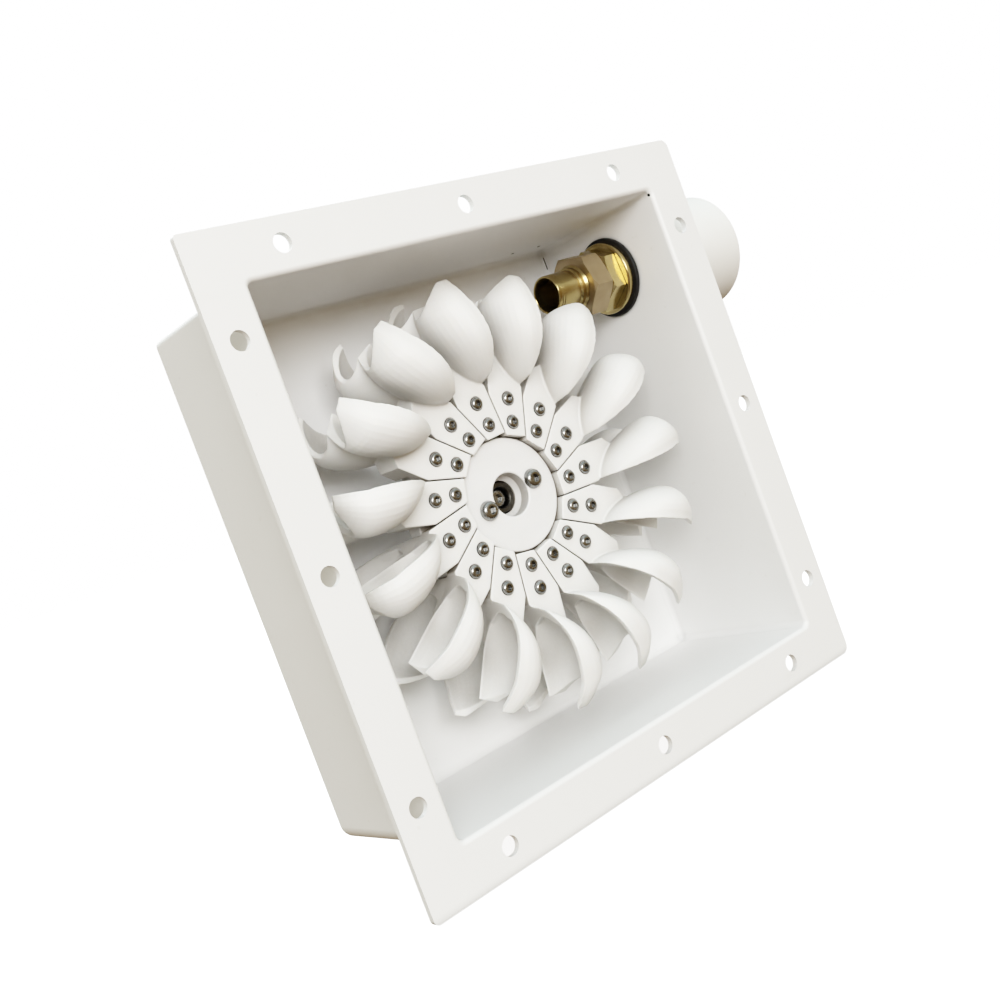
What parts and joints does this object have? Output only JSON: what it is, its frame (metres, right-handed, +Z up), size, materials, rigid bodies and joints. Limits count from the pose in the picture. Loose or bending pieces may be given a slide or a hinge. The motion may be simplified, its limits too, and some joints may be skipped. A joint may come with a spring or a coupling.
{
  "type": "pelton wheel",
  "caption": "Micro hydro Pelton wheel in a square flanged white casing, with bolted spoon buckets round a hub, a brass jet nozzle and a pipe socket.",
  "frame": {"origin": "middle of the bottom edge of the flange's front face, on that face", "axes": "+X towards the pipe socket, +Y from the flange's face into the casing and along the shaft, +Z up"},
  "size_m": [0.352, 0.146, 0.3],
  "materials": {
    "casing_paint": "satin",
    "nylon": "matte",
    "brass": "machined",
    "rubber": "matte",
    "pipe_plastic": "satin",
    "bearing_steel": "satin",
    "shaft_steel": "dark satin"
  },
  "bodies": {
    "casing": {"front_flange": "casing_paint", "top_wall": "casing_paint", "bottom_wall": "casing_paint", "left_wall": "casing_paint", "right_wall": "casing_paint", "back_wall": "casing_paint", "nozzle_tip": "brass", "nozzle_hexagon": "brass", "nozzle_tail": "brass", "lock_nut": "brass", "brass_washer": "brass", "rubber_gasket": "rubber", "pipe_socket": "pipe_plastic", "bearing_housing": "bearing_steel"},
    "wheel": {"hub_disc": "nylon", "clamp_collar": "bearing_steel", "wheel_shaft": "shaft_steel", "shaft_bolt": "shaft_steel", "bucket_01": "nylon", "bucket_02": "nylon", "bucket_03": "nylon", "bucket_04": "nylon", "bucket_05": "nylon", "bucket_06": "nylon", "bucket_07": "nylon", "bucket_08": "nylon", "bucket_09": "nylon", "bucket_10": "nylon", "bucket_11": "nylon", "bucket_12": "nylon", "bucket_13": "nylon", "bucket_14": "nylon", "bucket_15": "nylon"}
  },
  "joints": [
    {"name": "wheel_spin", "type": "hinge", "parent": "casing", "child": "wheel", "pos_m": [0, 0.05, 0.15], "axis": [0, -1, 0], "continuous": true}
  ]
}
